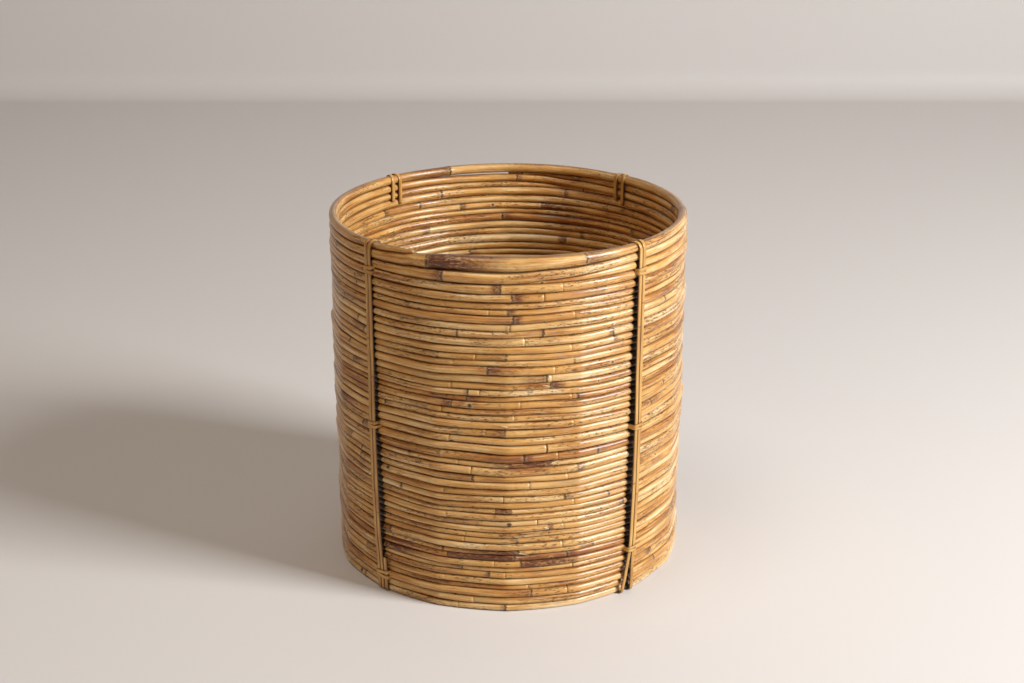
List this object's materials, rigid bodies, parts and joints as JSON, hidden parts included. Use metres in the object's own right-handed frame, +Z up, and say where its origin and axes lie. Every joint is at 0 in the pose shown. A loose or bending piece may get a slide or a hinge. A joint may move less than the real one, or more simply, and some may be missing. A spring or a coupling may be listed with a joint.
{
  "type": "wastebasket",
  "caption": "Round open-topped wastebasket of stacked rattan hoops, bound with pairs of split-cane strips.",
  "frame": {"origin": "middle of the foot, on the floor", "axes": "+Z up the basket's axis; -Y is the front, where the rods' cut ends meet; +X is its right as seen from the front"},
  "size_m": [0.3038, 0.3044, 0.3062],
  "materials": {
    "rattan": "satin",
    "cane": "satin",
    "steel": "satin"
  },
  "bodies": {
    "root": {"rim_rod": "rattan", "wedge_rod": "rattan", "hoop_01": "rattan", "hoop_02": "rattan", "hoop_03": "rattan", "hoop_04": "rattan", "hoop_05": "rattan", "hoop_06": "rattan", "hoop_07": "rattan", "hoop_08": "rattan", "hoop_09": "rattan", "hoop_10": "rattan", "hoop_11": "rattan", "hoop_12": "rattan", "hoop_13": "rattan", "hoop_14": "rattan", "hoop_15": "rattan", "hoop_16": "rattan", "hoop_17": "rattan", "hoop_18": "rattan", "hoop_19": "rattan", "hoop_20": "rattan", "hoop_21": "rattan", "hoop_22": "rattan", "hoop_23": "rattan", "hoop_24": "rattan", "hoop_25": "rattan", "hoop_26": "rattan", "hoop_27": "rattan", "hoop_28": "rattan", "hoop_29": "rattan", "hoop_30": "rattan", "hoop_31": "rattan", "hoop_32": "rattan", "hoop_33": "rattan", "hoop_34": "rattan", "hoop_35": "rattan", "hoop_36": "rattan", "hoop_37": "rattan", "hoop_38": "rattan", "hoop_39": "rattan", "hoop_40": "rattan", "hoop_41": "rattan", "hoop_42": "rattan", "hoop_43": "rattan", "hoop_44": "rattan", "hoop_45": "rattan", "hoop_46": "rattan", "hoop_47": "rattan", "hoop_48": "rattan", "base_hoop": "rattan", "base_rods": "rattan", "base_bar": "rattan", "binding_front_left": "cane", "binding_front_right": "cane", "binding_back_right": "cane", "binding_back_left": "cane", "brads": "steel"}
  },
  "joints": []
}
